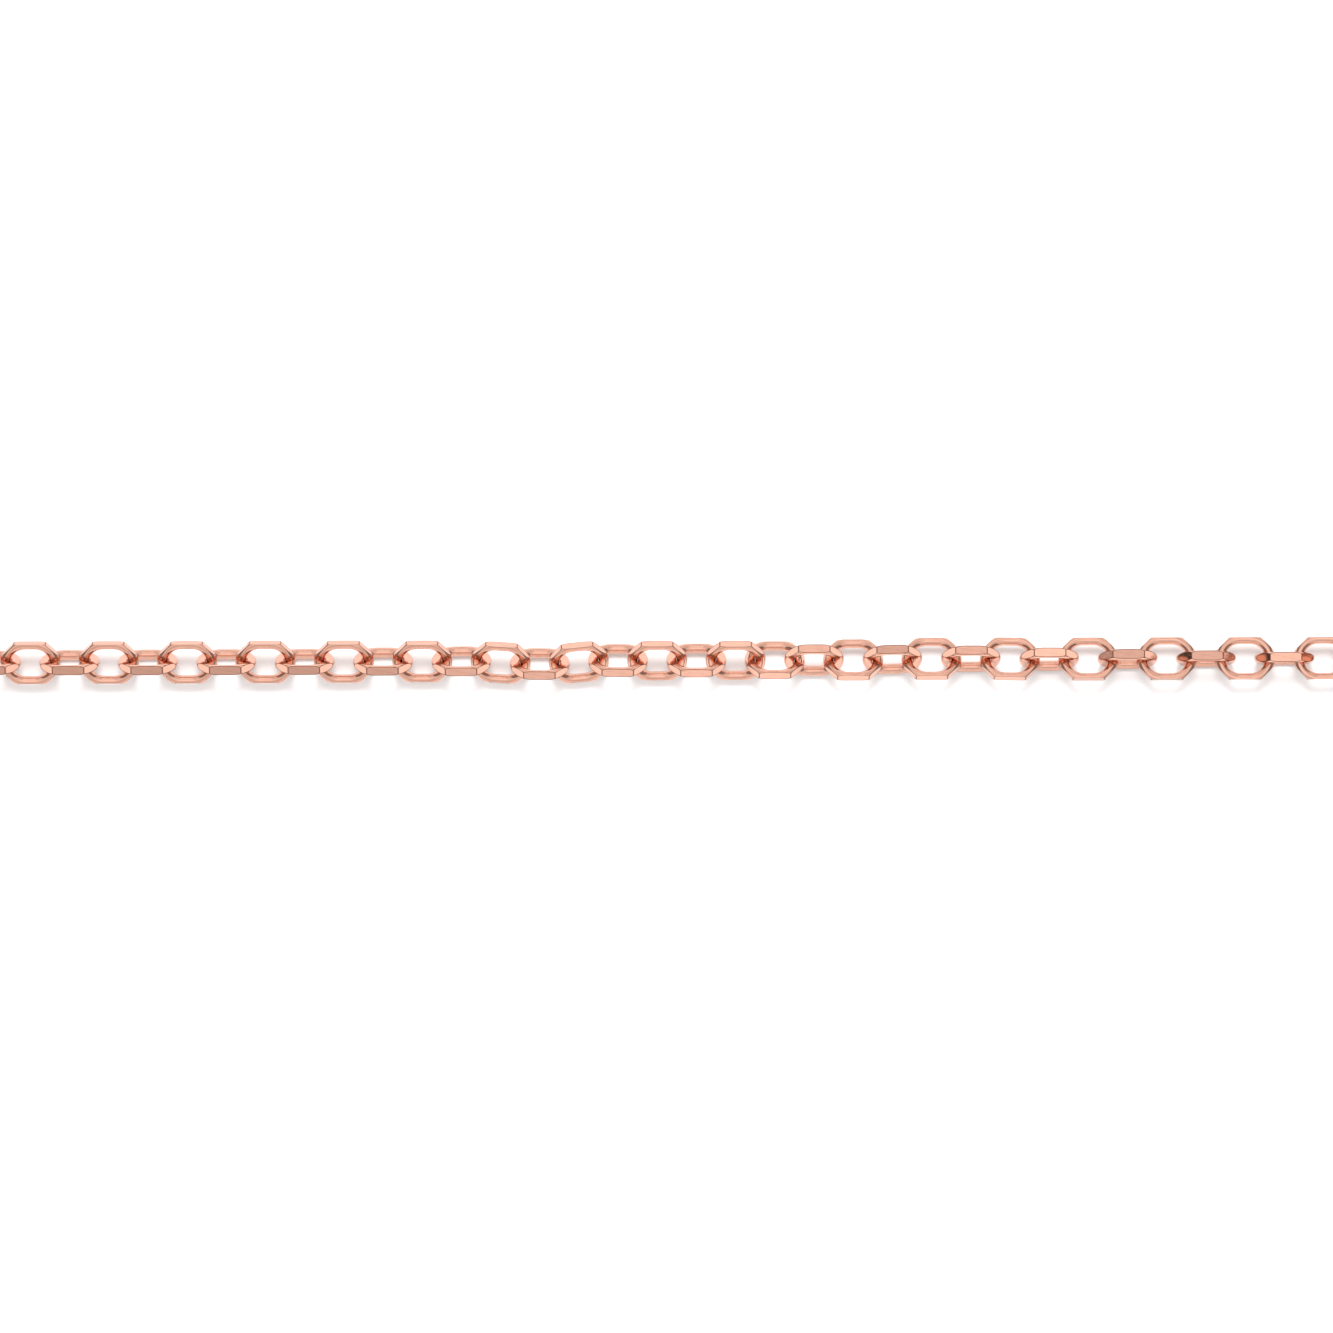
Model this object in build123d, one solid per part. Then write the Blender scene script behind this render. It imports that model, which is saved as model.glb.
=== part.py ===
from build123d import *
import math
import os

# Diamond-cut cable chain necklace, 18 inch, with a lobster clasp. Millimetres, +Z up.
# It lies unfastened on a flat surface in a wide U: a straight front run along X, a quarter turn
# at each end of it, and two arms that run towards +Y. The origin is under the middle of its box.

# Chain link: round wire bent to a straight-sided oval, then cut flat round its outside
wire_d = 0.54
inner_length = 2.07
inner_width = 1.54
flat_half_width = 1.10      # from the link's middle to the flats along its sides
chamfer_reach = 1.93        # where the slanting flats would meet the link's long axis
link_gap = 0.017            # clearance between two links' wires where they bear on each other

# The chain
front_left = 17             # single links left of the middle link
front_right = 18            # single links right of the middle link
last_link = 106             # links on each side of the middle link
sections = 9                # ten-link stretches in each arm
turn_links = 27             # links in each quarter turn
arm_wave = 5.0              # degrees that the arms wander from straight
arm_wave_links = 34         # links in one wave of an arm

# How far each link is rolled about the chain: link number and degrees, straight lines between.
# Odd links stand a quarter turn behind their neighbours.
twist_points = [
    (-50, 0), (-24, 18), (-14, 23), (-9, 24), (-2, 35.5), (2, 39), (4, 57), (8, 66), (12, 76), (16, 86), (22, 90),
]
kinks = {-4: -4.0, -3: -0.8, -2: 5.5, -1: -0.7, 6: 1.2, 9: -1.2}      # links that lie a little askew, in degrees

# Rings
jump_wire_d = 0.50
jump_outer_d = 3.40
end_ring_wire_d = 0.60
end_ring_outer_d = 4.00
ring_gap = 0.03
ring_slump = 60.0           # degrees round the last link's end that the end ring has slipped down
eye_from_ring = 1.13        # from the jump ring's middle to the middle of the clasp's eye
clasp_turn = 12.0           # degrees that the clasp lies off the line of its arm

# Lobster clasp, measured from the middle of its eye along its length
clasp_thick = 2.20
eye_outer_d = 2.60
eye_hole_d = 1.50
eye_thick = 1.00
belly_middle = 5.20
belly_half_length = 4.30
belly_half_width = 2.60
mouth_middle = 5.85
mouth_half_length = 2.55
mouth_half_width = 1.45
pivot_x = 2.70
pivot_y = -0.80
lever_reach = 5.25          # from the pivot to the end of the lever
lever_gap = 0.07
lever_root_r = 0.80
lever_root_thick = 0.80
lever_thick = 1.70
pin_d = 0.60
pin_running_gap = 0.03
pin_length = 1.90
heel_height = 1.15          # from the pivot to the tip of the lever's heel, which the spring bears on
heel_width = 0.60
pocket_left = 1.30          # the slot's pocket for the spring
pocket_top = 0.70
spring_thick = 0.12
spring_width = 0.60
edge_round = 0.55

wire_r = wire_d / 2
half_long = inner_length / 2 + wire_r       # link's middle to the centre line of its end wire
half_wide = inner_width / 2 + wire_r        # also the radius of the centre line's two round ends
pitch = inner_length - link_gap
end_centre = half_long - half_wide
axis_height = math.hypot(flat_half_width, math.sqrt(wire_r**2 - (half_wide - flat_half_width) ** 2))


def chain_link():
    """One link about the origin, long axis along X, lying in the XY plane."""
    wire = None
    for end in (1, -1):
        section = Plane.YZ * Pos(end * half_wide, 0) * Circle(wire_r)
        side = extrude(section, end_centre, both=True)
        bend = revolve(section.moved(Pos(end * end_centre, 0, 0)), Axis((end * end_centre, 0, 0), (0, 0, 1)), -180)
        wire = side + bend if wire is None else wire + side + bend
    corner = chamfer_reach - flat_half_width
    beyond = chamfer_reach
    outline = [(beyond, 0), (corner, flat_half_width), (-corner, flat_half_width)]
    outline += [(-x, -y) for x, y in outline]
    stock = extrude(make_face(Polyline(*outline, close=True)), wire_d, both=True)
    return wire & stock


def twist(number):
    """Degrees that link `number` is rolled about the chain's own direction."""
    low, high = twist_points[0], twist_points[-1]
    for point in twist_points:
        if point[0] <= number and point[0] >= low[0]:
            low = point
        if point[0] >= number and point[0] <= high[0]:
            high = point
    share = 0 if low[0] == high[0] else (number - low[0]) / (high[0] - low[0])
    share = min(max(share, 0), 1)
    roll = low[1] + share * (high[1] - low[1])
    return roll - 90 * (number % 2)


def heading(number):
    """Degrees from +X that link `number` points in plan, taken from left to right."""
    past = number - front_right if number > 0 else -number - front_left
    if past <= 0:
        return kinks.get(number, 0.0)
    turned = 90 * min(past, turn_links) / turn_links
    if past > turn_links:
        turned += arm_wave * math.sin(2 * math.pi * (past - turn_links) / arm_wave_links)
    return turned if number > 0 else -turned


def link_places():
    """Middle point, heading and roll of each link, with the middle link's middle at X = Y = 0."""
    places = {}
    for side in (1, -1):
        x, y = 0.0, 0.0
        for step in range(last_link + 1):
            number = side * step
            angle = math.radians(heading(number))
            dx, dy = side * pitch * math.cos(angle), side * pitch * math.sin(angle)
            if step == 0:
                dx, dy = dx / 2, dy / 2
                places[0] = (x, y, heading(0), twist(0))
            else:
                places[number] = (x + dx / 2, y + dy / 2, heading(number), twist(number))
            x, y = x + dx, y + dy
    return places


def place_link(x, y, yaw, roll):
    """Location of a link in the model."""
    return Location((x, y, axis_height)) * Rotation(0, 0, yaw) * Rotation(roll, 0, 0)


def ring(outer_d, thickness):
    """A closed round ring in the XY plane about the origin."""
    middle_radius = (outer_d - thickness) / 2
    return revolve(Plane.XZ * Pos(middle_radius, 0, 0) * Circle(thickness / 2), Axis.Z)


def mouth_outline(shrink=0.0):
    """The hole inside the hook."""
    return Pos(mouth_middle, 0) * Ellipse(mouth_half_length - shrink, mouth_half_width - shrink)


def gate_outline(reach, clear):
    """The part of the belly's lower wall that the lever takes the place of."""
    swept = Pos(pivot_x, pivot_y) * Circle(reach)
    window = Pos(pivot_x + 5, -5 - 0.25 - clear) * Rectangle(8.4 - 2 * clear, 10)
    return swept & window


def clasp_body():
    """Hooked claw with its eye: one casting with a slot across the tail for the lever's root."""
    belly = Pos(belly_middle, 0) * Ellipse(belly_half_length, belly_half_width)
    claw = extrude(belly, clasp_thick / 2, both=True)
    claw = fillet(claw.edges(), edge_round)
    neck = Pos(0.9, 0) * Rectangle(1.8, eye_outer_d * 0.72) + Circle(eye_outer_d / 2)
    tail = extrude(neck, eye_thick / 2, both=True)
    tail = fillet(tail.edges().filter_by(GeomType.CIRCLE), 0.25)
    body = claw + tail
    body -= extrude(mouth_outline(), clasp_thick, both=True)
    body -= extrude(gate_outline(lever_reach + lever_gap, 0), clasp_thick, both=True)
    slot_thick = lever_root_thick + 2 * lever_gap
    root_room = Pos(pivot_x, pivot_y) * Circle(lever_root_r + 3 * lever_gap)
    way_out = Pos(pivot_x + 0.55, pivot_y - 2) * Rectangle(2.2 * lever_root_r + 0.6, 4)
    pocket = Pos((pocket_left + pivot_x + 0.2) / 2, (pocket_top + pivot_y) / 2)
    pocket *= Rectangle(pivot_x + 0.2 - pocket_left, pocket_top - pivot_y)
    body -= extrude(root_room + way_out + pocket, slot_thick / 2, both=True)
    body -= Cylinder(eye_hole_d / 2, clasp_thick * 2)
    body -= Pos(pivot_x, pivot_y, 0) * Cylinder(pin_d / 2, clasp_thick * 2)
    return body


def clasp_lever():
    """Sprung gate of the claw with its thumb nub, turning on the pin."""
    shrunk = Pos(belly_middle, 0) * Ellipse(belly_half_length - 0.12, belly_half_width - 0.12)
    gate = (shrunk - mouth_outline(-0.02)) & gate_outline(lever_reach, lever_gap)
    lever = extrude(gate, lever_thick / 2, both=True)
    root = Pos(pivot_x, pivot_y) * Circle(lever_root_r)
    arm = Pos(pivot_x + 0.75, pivot_y - 0.35) * Rectangle(1.5, 0.9)
    heel = Pos(pivot_x - heel_width / 2, pivot_y + heel_height / 2) * Rectangle(heel_width, heel_height)
    lever += extrude(root + arm + heel, lever_root_thick / 2, both=True)
    nub = Pos(pivot_x + 1.25, -belly_half_width - 0.1) * Cylinder(0.45, lever_root_thick)
    lever += nub
    lever -= Pos(pivot_x, pivot_y, 0) * Cylinder(pin_d / 2 + pin_running_gap, clasp_thick * 2)
    return lever


def clasp_spring():
    """Hairpin of spring strip between the pocket's wall and the lever's heel."""
    left = pocket_left + spring_thick / 2 + 0.02
    right = pivot_x - heel_width - spring_thick / 2 - 0.02
    bend = (right - left) / 2
    top = pocket_top - bend - spring_thick
    low = pivot_y + 0.25
    strip = Line((left, low), (left, top)) + RadiusArc((left, top), (right, top), bend)
    strip += Line((right, top), (right, top - 0.55))
    return extrude(trace(strip, spring_thick), spring_width / 2, both=True)


def outward(side):
    """Direction in plan of the last link on a side, away from the chain, with its far wire's middle."""
    x, y, yaw, roll = link_places()[side * last_link]
    along = Vector(side, 0, 0).rotate(Axis.Z, yaw)
    return along, Vector(x, y, axis_height) + along * half_long


def jump_ring_place():
    """The jump ring stands on edge on the ground, round the end wire of the left arm's last link."""
    along, wire = outward(-1)
    middle_radius = (jump_outer_d - jump_wire_d) / 2
    height = jump_outer_d / 2
    bearing = middle_radius - wire_r - jump_wire_d / 2 - ring_gap
    middle = wire + along * math.sqrt(bearing**2 - (height - axis_height) ** 2)
    middle = Vector(middle.X, middle.Y, height)
    return Location(Plane(middle, x_dir=along, z_dir=along.cross(Vector(0, 0, 1))))


def end_ring_place():
    """The end ring leans from the right arm's last link down to the ground."""
    along, wire = outward(1)
    wire_radius = end_ring_wire_d / 2
    middle_radius = (end_ring_outer_d - end_ring_wire_d) / 2
    play = half_wide - wire_r - wire_radius - ring_gap
    slump = math.radians(ring_slump)
    near = wire + along * (play * math.cos(slump) - half_wide) - Vector(0, 0, play * math.sin(slump))
    lean = math.asin((near.Z - wire_radius) / (2 * middle_radius))
    down = along * math.cos(lean) - Vector(0, 0, math.sin(lean))
    across = Vector(0, 0, 1).cross(along)
    return Location(Plane(near + down * middle_radius, x_dir=down, z_dir=down.cross(across)))


def clasp_place():
    """The clasp lies flat beyond the jump ring, which its eye is threaded on."""
    along, wire = outward(-1)
    eye = jump_ring_place().position + along * eye_from_ring
    turn = math.degrees(math.atan2(along.Y, along.X)) + clasp_turn
    return Location((eye.X, eye.Y, clasp_thick / 2)) * Rotation(0, 0, turn)


def chain_nodes():
    """Node names and the link numbers in each: single links along the front, ten or so in each arm's sections."""
    nodes = {"link_middle": [0]}
    for number in range(1, front_left + 1):
        nodes[f"link_left_{number:02d}"] = [-number]
    for number in range(1, front_right + 1):
        nodes[f"link_right_{number:02d}"] = [number]
    for name, side, first in (("left", -1, front_left + 1), ("right", 1, front_right + 1)):
        count = last_link - first + 1
        for section in range(sections):
            low = first + count * section // sections
            high = first + count * (section + 1) // sections
            nodes[f"chain_{name}_{section + 1:02d}"] = [side * number for number in range(low, high)]
    return nodes


def build():
    """Every node's shape, moved so that the origin is under the middle of the whole necklace's box."""
    places = link_places()
    link = chain_link()
    shapes = {}
    for name, numbers in chain_nodes().items():
        links = [link.moved(place_link(*places[number])) for number in numbers]
        shapes[name] = links[0] if len(links) == 1 else Compound(links)
    shapes["jump_ring"] = ring(jump_outer_d, jump_wire_d).moved(jump_ring_place())
    shapes["end_ring"] = ring(end_ring_outer_d, end_ring_wire_d).moved(end_ring_place())
    for name, shape in (
        ("clasp_body", clasp_body()),
        ("clasp_lever", clasp_lever()),
        ("clasp_pin", Pos(pivot_x, pivot_y, 0) * Cylinder(pin_d / 2, pin_length)),
        ("clasp_spring", clasp_spring()),
    ):
        shapes[name] = shape.moved(clasp_place())
    box = Compound(list(shapes.values())).bounding_box()
    shift = Location((-box.center().X, -box.center().Y, -box.min.Z))
    return {name: shape.moved(shift) for name, shape in shapes.items()}, shift


if __name__ == "__main__":
    os.makedirs("parts", exist_ok=True)
    necklace, moved = build()
    for name, shape in necklace.items():
        shape.label = name
        export_step(shape, f"parts/{name}.step", write_pcurves=False)
    print(len(necklace), "nodes; model moved by", moved.position)
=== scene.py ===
import math
import bmesh
import bpy
from mathutils import Matrix, Vector


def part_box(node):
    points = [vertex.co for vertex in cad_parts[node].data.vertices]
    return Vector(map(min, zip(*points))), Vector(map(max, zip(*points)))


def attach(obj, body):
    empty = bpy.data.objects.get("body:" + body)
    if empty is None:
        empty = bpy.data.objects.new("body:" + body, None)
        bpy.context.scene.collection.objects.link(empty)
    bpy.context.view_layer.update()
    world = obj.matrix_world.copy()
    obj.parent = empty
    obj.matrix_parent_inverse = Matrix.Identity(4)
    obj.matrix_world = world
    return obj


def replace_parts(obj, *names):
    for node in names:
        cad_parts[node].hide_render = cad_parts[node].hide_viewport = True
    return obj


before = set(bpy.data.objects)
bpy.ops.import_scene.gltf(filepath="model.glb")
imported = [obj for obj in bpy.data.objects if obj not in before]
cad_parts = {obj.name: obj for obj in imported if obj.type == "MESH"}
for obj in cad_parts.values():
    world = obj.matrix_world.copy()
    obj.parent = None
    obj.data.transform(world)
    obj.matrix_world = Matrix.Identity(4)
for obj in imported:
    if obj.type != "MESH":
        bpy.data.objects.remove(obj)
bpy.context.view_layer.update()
millimetre = 0.001
print("frame loaded:", len(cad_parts), "nodes")

# where each link lies: lengths in millimetres, angles in degrees
chain = {
    "pitch": 2.053,           # from one link's middle to the next
    "height": 1.13106,        # of every link's middle over the ground
    "frontLeft": 17,          # single links each side of the middle one
    "frontRight": 18,
    "lastLink": 106,
    "stretches": 9,           # of ten or so links, in each arm
    "turn": 90,               # from the front run into each arm
    "turnLinks": 27,
    "armWave": 5.0,
    "armWaveLinks": 34,
    # (link, roll about the chain), with a straight change in between
    "twist": [(-50, 0), (-24, 18), (-14, 23), (-9, 24), (-2, 35.5), (2, 39),
              (4, 57), (8, 66), (12, 76), (16, 86), (22, 90)],
    "quarter": 90,            # that odd links stand behind even ones
    # (link: heading) of the few that are out of line with the front run
    "kinks": {-4: -4.0, -3: -0.8, -2: 5.5, -1: -0.7, 6: 1.2, 9: -1.2},
}


def linkRoll(number):
    points = chain["twist"]
    held = min(max(number, points[0][0]), points[-1][0])
    for (low, lowRoll), (high, highRoll) in zip(points, points[1:]):
        if low <= held <= high:
            roll = lowRoll + (highRoll - lowRoll) * (held - low) / (high - low)
            break
    return roll - chain["quarter"] * (number % 2)


def linkHeading(number):
    # degrees from +X that a link points in plan
    front = chain["frontRight"] if number > 0 else chain["frontLeft"]
    past = abs(number) - front
    if past <= 0:
        return chain["kinks"].get(number, 0.0)
    turned = chain["turn"] * min(past, chain["turnLinks"]) / chain["turnLinks"]
    if past > chain["turnLinks"]:
        phase = 2 * math.pi * (past - chain["turnLinks"]) / chain["armWaveLinks"]
        turned += chain["armWave"] * math.sin(phase)
    return turned if number > 0 else -turned


def linkMatrices():
    # each link's place in metres, counted out both ways from the middle link's CAD node
    low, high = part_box("link_middle")
    middle = (low + high) / 2
    height = chain["height"] * millimetre
    places = {}
    for side in (1, -1):
        x, y = -side * chain["pitch"] / 2, 0.0
        for step in range(chain["lastLink"] + 1):
            number = side * step
            angle = math.radians(linkHeading(number))
            strideX = side * chain["pitch"] * math.cos(angle)
            strideY = side * chain["pitch"] * math.sin(angle)
            spot = Vector((middle.x + (x + strideX / 2) * millimetre,
                           middle.y + (y + strideY / 2) * millimetre, height))
            heading = Matrix.Rotation(angle, 4, "Z")
            roll = Matrix.Rotation(math.radians(linkRoll(number)), 4, "X")
            places[number] = Matrix.Translation(spot) @ heading @ roll
            x, y = x + strideX, y + strideY
    return places


# colours and patterns: lengths in millimetres, scales per millimetre
metals = {
    "roseGold": (0.835, 0.455, 0.340),
    "paintedEdgeReflection": (0.261, 0.111, 0.077),   # rose gold darkened into a painted dark reflection line round the cut flats
    "springSteel": (0.60, 0.59, 0.57),
    "cloudScale": 1.75,
    "cloudDepth": 0.93,       # of the colour, where it is cloudiest
    "cloudDetail": 3.0,
    "lineDetail": 4.0,
    "rampEdges": (0.3, 0.7),  # of the noise that the patterns use
    "bumpHeight": 0.004,
}


def newMaterial(name):
    material = bpy.data.materials.new(name)
    material.use_nodes = True
    tree = material.node_tree
    return material, tree.nodes, tree.links, tree.nodes["Principled BSDF"]


def ramp(nodes, links, source, low, high):
    node = nodes.new("ShaderNodeValToRGB")
    elements = node.color_ramp.elements
    for element, position, colour in zip(elements, metals["rampEdges"], (low, high)):
        element.position = position
        element.color = (*colour, 1)
    links.new(source, node.inputs["Fac"])
    return node.outputs["Color"]


def noisePattern(nodes, links, vector, scale, stretch, detail):
    mapping = nodes.new("ShaderNodeMapping")
    mapping.inputs["Scale"].default_value = stretch
    links.new(vector, mapping.inputs["Vector"])
    noise = nodes.new("ShaderNodeTexNoise")
    noise.inputs["Scale"].default_value = scale
    noise.inputs["Detail"].default_value = detail
    links.new(mapping.outputs["Vector"], noise.inputs["Vector"])
    return noise.outputs["Fac"]


def partPlace(nodes, onLink):
    # the pattern's coordinates, and how many millimetres are in one of their units
    if onLink:
        place = nodes.new("ShaderNodeAttribute")
        place.attribute_name = "linkPlace"
        return place.outputs["Vector"], 1.0
    return nodes.new("ShaderNodeTexCoord").outputs["Object"], 1 / millimetre


def metalMaterial(name, colour, rough, stretch, bump, lineScale, onLink=True):
    # polished metal: slightly cloudy colour, and fine lines that catch the light
    material, nodes, links, shader = newMaterial(name)
    place, perUnit = partPlace(nodes, onLink)
    cloud = noisePattern(nodes, links, place, metals["cloudScale"], [perUnit] * 3,
                         metals["cloudDetail"])
    lines = noisePattern(nodes, links, place, lineScale,
                         [factor * perUnit for factor in stretch], metals["lineDetail"])
    shader.inputs["Metallic"].default_value = 1.0
    tint = metals[colour]
    cloudy = [channel * metals["cloudDepth"] for channel in tint]
    links.new(ramp(nodes, links, cloud, cloudy, tint), shader.inputs["Base Color"])
    smooth, dull = ([value] * 3 for value in rough)
    links.new(ramp(nodes, links, lines, smooth, dull), shader.inputs["Roughness"])
    bumpNode = nodes.new("ShaderNodeBump")
    bumpNode.inputs["Strength"].default_value = bump
    bumpNode.inputs["Distance"].default_value = metals["bumpHeight"] * millimetre
    links.new(lines, bumpNode.inputs["Height"])
    links.new(bumpNode.outputs["Normal"], shader.inputs["Normal"])
    return material


wireFinish = metalMaterial("roseGoldWire", "roseGold", rough=(0.03, 0.09),
                           stretch=(0.4, 1.0, 1.0), bump=0.9, lineScale=10.0)
cutFinish = metalMaterial("roseGoldCutFacet", "roseGold", rough=(0.06, 0.15),
                          stretch=(0.35, 1.0, 3.0), bump=0.3, lineScale=12.0)
# a darker rose gold for the thin ring round each cut flat: a painted dark reflection line
paintedEdgeFinish = metalMaterial("roseGoldPaintedEdgeReflection", "paintedEdgeReflection", rough=(0.25, 0.45),
                           stretch=(1.0, 1.0, 1.0), bump=0.5, lineScale=9.0)
linkFinishes = (wireFinish, cutFinish, paintedEdgeFinish)
onWire, onFlat, onPaintedRim = range(len(linkFinishes))
print("finishes made")

# one link, in millimetres, long way along X
link = {
    "wire": 0.27,             # radius
    "bend": 1.04,             # of the wire's middle round the link's ends
    "bendCentre": 0.265,
    "flat": 1.10,             # from the middle to the two long flats
    "chamfer": 1.93,          # where the four corner flats would meet the axes
    "rim": 0.035,             # width of the painted dark reflection line round each flat
    # faces around the wire, along each bend and along each side
    "fine": (40, 48, 6),
    "plain": (8, 6, 1),
    "weld": 0.001,
    "cutSlack": 1e-5,
    "patternStep": 7.3,       # between the patterns of neighbouring links
}


def linkMesh(faces, paintedRims):
    # wire swept round two bends and two straight sides, then cut flat on six sides
    around, bendSteps, sideSteps = faces
    bm = bmesh.new()
    start = (Matrix.Translation((link["bendCentre"], -link["bend"], 0))
             @ Matrix.Rotation(math.pi / 2, 4, "Y"))
    bmesh.ops.create_circle(bm, cap_ends=False, segments=around, radius=link["wire"],
                            matrix=start)
    last = bm.verts[:] + bm.edges[:]
    for side in (1, -1):
        stride = Vector((-side * 2 * link["bendCentre"] / sideSteps, 0, 0))
        for angle, steps, move in ((math.pi, bendSteps, Vector()), (0, sideSteps, stride)):
            last = bmesh.ops.spin(
                bm, geom=last, cent=(side * link["bendCentre"], 0, 0), axis=(0, 0, 1),
                dvec=move, angle=angle, steps=steps, use_merge=False,
                use_duplicate=False)["geom_last"]
    bmesh.ops.remove_doubles(bm, verts=bm.verts, dist=link["weld"])
    diagonal = math.sqrt(0.5)
    cuts = [((0, side, 0), link["flat"]) for side in (1, -1)]
    cuts += [((x * diagonal, y * diagonal, 0), link["chamfer"] * diagonal)
             for x in (1, -1) for y in (1, -1)]
    for normal, distance in cuts:
        cut = bmesh.ops.bisect_plane(
            bm, geom=bm.verts[:] + bm.edges[:] + bm.faces[:], dist=link["cutSlack"],
            plane_co=Vector(normal) * distance, plane_no=normal,
            clear_outer=True, clear_inner=False)["geom_cut"]
        rim = [item for item in cut if isinstance(item, bmesh.types.BMEdge) and item.is_boundary]
        bmesh.ops.edgeloop_fill(bm, edges=rim, mat_nr=onFlat, use_smooth=False)
    bmesh.ops.recalc_face_normals(bm, faces=bm.faces)
    flats = [face for face in bm.faces if face.material_index == onFlat]
    for edge in {edge for face in flats for edge in face.edges}:
        edge.smooth = False
    # a thin ring inset round each flat takes the darker finish: a painted dark reflection line
    # along the cut edges
    if paintedRims:
        inset = bmesh.ops.inset_individual(bm, faces=flats, thickness=link["rim"],
                                           use_even_offset=True)
        for face in inset["faces"]:
            face.material_index = onPaintedRim
    for face in bm.faces:
        face.smooth = face.material_index == onWire
    return bm


def placedCopies(name, source, numbers, places):
    # a copy of a link for each number; each vertex keeps its place in its own link
    bm = bmesh.new()
    layer = bm.verts.layers.float_vector.new("linkPlace")
    sample = bpy.data.meshes.new(name + "_sample")
    source.to_mesh(sample)
    for number in numbers:
        before = len(bm.verts)
        bm.from_mesh(sample)
        bm.verts.ensure_lookup_table()
        for vert in bm.verts[before:]:
            vert[layer] = vert.co + Vector((0, 0, number * link["patternStep"]))
            vert.co = places[number] @ (vert.co * millimetre)
    mesh = bpy.data.meshes.new(name)
    bm.to_mesh(mesh)
    bm.free()
    bpy.data.meshes.remove(sample)
    for finish in linkFinishes:
        mesh.materials.append(finish)
    piece = bpy.data.objects.new(name, mesh)
    bpy.context.scene.collection.objects.link(piece)
    return piece


def stretchNumbers(side, stretch):
    first = (chain["frontLeft"] if side < 0 else chain["frontRight"]) + 1
    count = chain["lastLink"] - first + 1
    low = first + count * stretch // chain["stretches"]
    high = first + count * (stretch + 1) // chain["stretches"]
    return [side * number for number in range(low, high)]


places = linkMatrices()
fineLink = linkMesh(link["fine"], paintedRims=True)
plainLink = linkMesh(link["plain"], paintedRims=False)
frontLinks = {"link_middle": 0}
frontLinks.update({f"link_left_{n:02d}": -n for n in range(1, chain["frontLeft"] + 1)})
frontLinks.update({f"link_right_{n:02d}": n for n in range(1, chain["frontRight"] + 1)})
for node, number in frontLinks.items():
    piece = placedCopies("fine_" + node, fineLink, [number], places)
    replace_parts(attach(piece, node), node)
for name, side in (("left", -1), ("right", 1)):
    for stretch in range(chain["stretches"]):
        node = f"chain_{name}_{stretch + 1:02d}"
        piece = placedCopies("fine_" + node, plainLink, stretchNumbers(side, stretch), places)
        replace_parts(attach(piece, node), node)
print("links made:", len(frontLinks), "single,", 2 * chain["stretches"], "stretches")

# the clasp and the rings keep their CAD shapes
claspFinish = metalMaterial("roseGoldClasp", "roseGold", rough=(0.06, 0.15),
                            stretch=(1.0, 1.0, 1.0), bump=0.3, lineScale=6.0, onLink=False)
springFinish = metalMaterial("springSteel", "springSteel", rough=(0.18, 0.34),
                             stretch=(1.0, 1.0, 4.0), bump=0.3, lineScale=8.0, onLink=False)
claspFinishes = dict.fromkeys(
    ("clasp_body", "clasp_lever", "clasp_pin", "jump_ring", "end_ring"), claspFinish)
claspFinishes["clasp_spring"] = springFinish
for node, finish in claspFinishes.items():
    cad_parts[node].data.materials.clear()
    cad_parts[node].data.materials.append(finish)
print("clasp and rings finished")

# lengths in metres, angles in degrees
studio = {
    "viewWidth": 0.06982,     # of ground across the picture
    "lens": 200.0,
    "sensor": 36.0,
    "nearest": 0.01,
    "aim": (0.000487, -0.00031),   # from the middle link
    "roll": -0.20,
    "floorSize": 1.5,
    "floorParts": 8,
    "floor": 0.96,
    "floorRough": 0.9,
    "floorShine": 0.1,
    "keySize": 0.30,
    "keyDistance": 0.75,
    "keyTilt": 31.0,          # that the key light leans back from overhead
    "keyPower": 4.0,
    # brightness that the metal sees, by height from the horizon up to straight overhead
    "tent": [(0.00, 0.10), (0.09, 0.06), (0.13, 1.15), (0.35, 1.08), (0.52, 0.92),
             (0.62, 0.80), (0.76, 0.82), (0.90, 0.94), (0.96, 0.98), (0.99, 1.25)],
    "tableSeen": 0.86,        # how light the floor looks in the metal
    "softbox": 0.55,          # extra brightness of a lamp that the wires show as a bright line
    "softboxTilt": 41.0,
    "softboxEdge": (0.985, 0.995),
    "flag": 0.70,             # how much the dark cards on both sides take away
    "flagEdge": (0.50, 0.60),
    "mottle": (0.88, 1.10),
    "mottleEdge": (0.35, 0.65),
    "mottleScale": 3.5,
    "mottleDetail": 3.0,
}


def makeFloor():
    bm = bmesh.new()
    bmesh.ops.create_grid(bm, x_segments=studio["floorParts"],
                          y_segments=studio["floorParts"], size=studio["floorSize"])
    mesh = bpy.data.meshes.new("floor")
    bm.to_mesh(mesh)
    bm.free()
    floor = bpy.data.objects.new("floor", mesh)
    bpy.context.scene.collection.objects.link(floor)
    material, nodes, links, shader = newMaterial("paleFloor")
    path = nodes.new("ShaderNodeLightPath")
    tone = nodes.new("ShaderNodeMapRange")
    tone.inputs["To Min"].default_value = studio["floor"]
    tone.inputs["To Max"].default_value = studio["tableSeen"]
    links.new(path.outputs["Is Glossy Ray"], tone.inputs["Value"])
    links.new(tone.outputs["Result"], shader.inputs["Base Color"])
    shader.inputs["Roughness"].default_value = studio["floorRough"]
    shader.inputs["Specular IOR Level"].default_value = studio["floorShine"]
    mesh.materials.append(material)


def makeKeyLight():
    # shapes the shadows only: the metal sees the softbox in the sky in its place
    light = bpy.data.lights.new("keyLight", "AREA")
    light.shape = "DISK"
    light.size = studio["keySize"]
    light.energy = studio["keyPower"]
    holder = bpy.data.objects.new("keyLight", light)
    lean = Matrix.Rotation(math.radians(-studio["keyTilt"]), 4, "X")
    low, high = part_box("link_middle")
    holder.matrix_world = (Matrix.Translation((low + high) / 2) @ lean
                           @ Matrix.Translation((0, 0, studio["keyDistance"])))
    holder.visible_glossy = False
    bpy.context.scene.collection.objects.link(holder)


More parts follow.
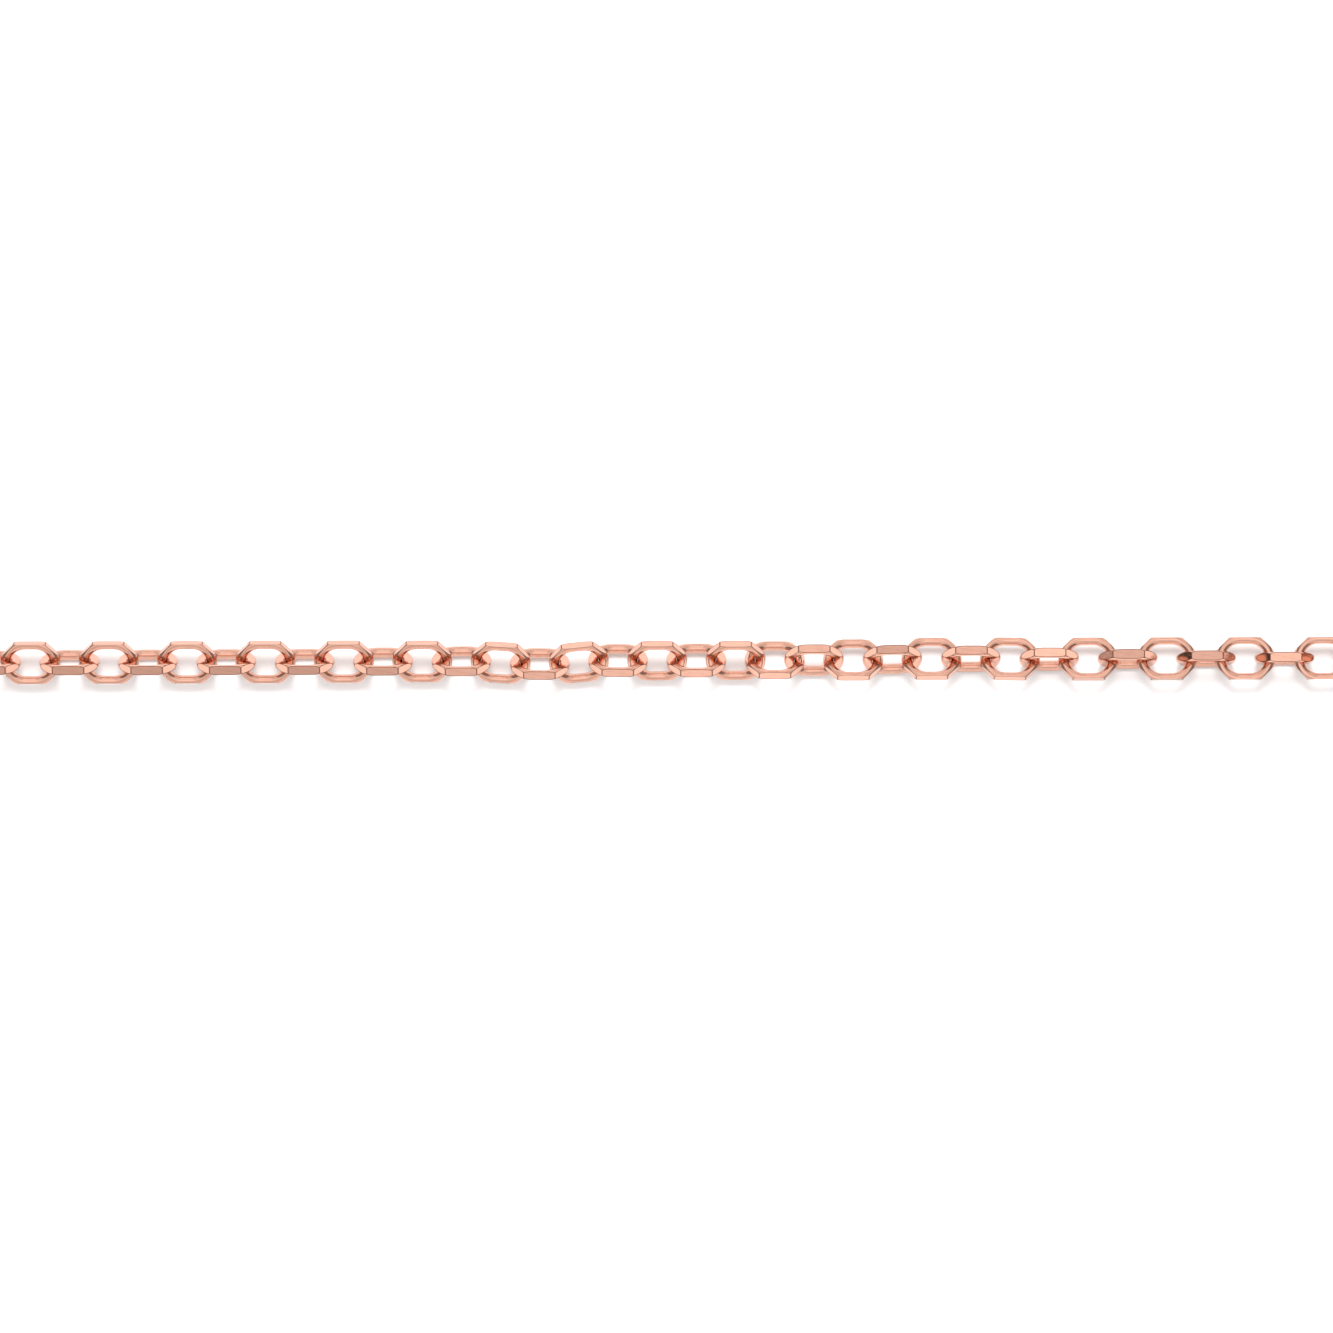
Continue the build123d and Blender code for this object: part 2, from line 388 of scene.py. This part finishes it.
def smoothStep(nodes, links, source, edges, low, high):
    node = nodes.new("ShaderNodeMapRange")
    node.interpolation_type = "SMOOTHSTEP"
    names = ("From Min", "From Max", "To Min", "To Max")
    for name, value in zip(names, (*edges, low, high)):
        node.inputs[name].default_value = value
    links.new(source, node.inputs["Value"])
    return node.outputs["Result"]


def combine(nodes, links, operation, *sources):
    node = nodes.new("ShaderNodeMath")
    node.operation = operation
    for source, socket in zip(sources, node.inputs):
        links.new(source, socket)
    return node.outputs["Value"]


def makeSky():
    # a white tent, dark near the table, with a dark card at each side; plain white
    # for the camera and for the light on the floor
    world = bpy.data.worlds.new("studioSky")
    bpy.context.scene.world = world
    world.use_nodes = True
    nodes, links = world.node_tree.nodes, world.node_tree.links
    direction = nodes.new("ShaderNodeTexCoord").outputs["Generated"]
    split = nodes.new("ShaderNodeSeparateXYZ")
    links.new(direction, split.inputs["Vector"])
    band = nodes.new("ShaderNodeValToRGB")
    elements = band.color_ramp.elements
    while len(elements) < len(studio["tent"]):
        elements.new(0.5)
    for element, (position, value) in zip(elements, studio["tent"]):
        element.position = position
        element.color = (value, value, value, 1)
    links.new(split.outputs["Z"], band.inputs["Fac"])
    facing = nodes.new("ShaderNodeVectorMath")
    facing.operation = "DOT_PRODUCT"
    links.new(direction, facing.inputs[0])
    tilt = math.radians(studio["softboxTilt"])
    facing.inputs[1].default_value = (0, math.sin(tilt), math.cos(tilt))
    softbox = smoothStep(nodes, links, facing.outputs["Value"], studio["softboxEdge"],
                         0, studio["softbox"])
    sideways = combine(nodes, links, "ABSOLUTE", split.outputs["X"])
    flags = smoothStep(nodes, links, sideways, studio["flagEdge"], 1, 1 - studio["flag"])
    noise = noisePattern(nodes, links, direction, studio["mottleScale"], (1, 1, 1),
                         studio["mottleDetail"])
    mottle = smoothStep(nodes, links, noise, studio["mottleEdge"], *studio["mottle"])
    light = combine(nodes, links, "MULTIPLY", band.outputs["Color"], flags)
    light = combine(nodes, links, "MULTIPLY", light, mottle)
    light = combine(nodes, links, "ADD", light, softbox)
    path = nodes.new("ShaderNodeLightPath")
    plain = combine(nodes, links, "ADD", path.outputs["Is Camera Ray"],
                    path.outputs["Is Diffuse Ray"])
    light = combine(nodes, links, "MAXIMUM", light, plain)
    links.new(light, nodes["Background"].inputs["Strength"])
    nodes["Background"].inputs["Color"].default_value = (1, 1, 1, 1)


def makeCamera():
    camera = bpy.data.cameras.new("camera")
    camera.lens = studio["lens"]
    camera.sensor_width = studio["sensor"]
    camera.clip_start = studio["nearest"]
    holder = bpy.data.objects.new("camera", camera)
    low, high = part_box("link_middle")
    distance = studio["viewWidth"] * studio["lens"] / studio["sensor"]
    spot = (low + high) / 2 + Vector((*studio["aim"], distance))
    roll = Matrix.Rotation(math.radians(studio["roll"]), 4, "Z")
    holder.matrix_world = Matrix.Translation(spot) @ roll
    bpy.context.scene.collection.objects.link(holder)
    bpy.context.scene.camera = holder


makeFloor()
makeKeyLight()
makeSky()
makeCamera()
bpy.context.scene.view_settings.view_transform = "Standard"
print("studio made")
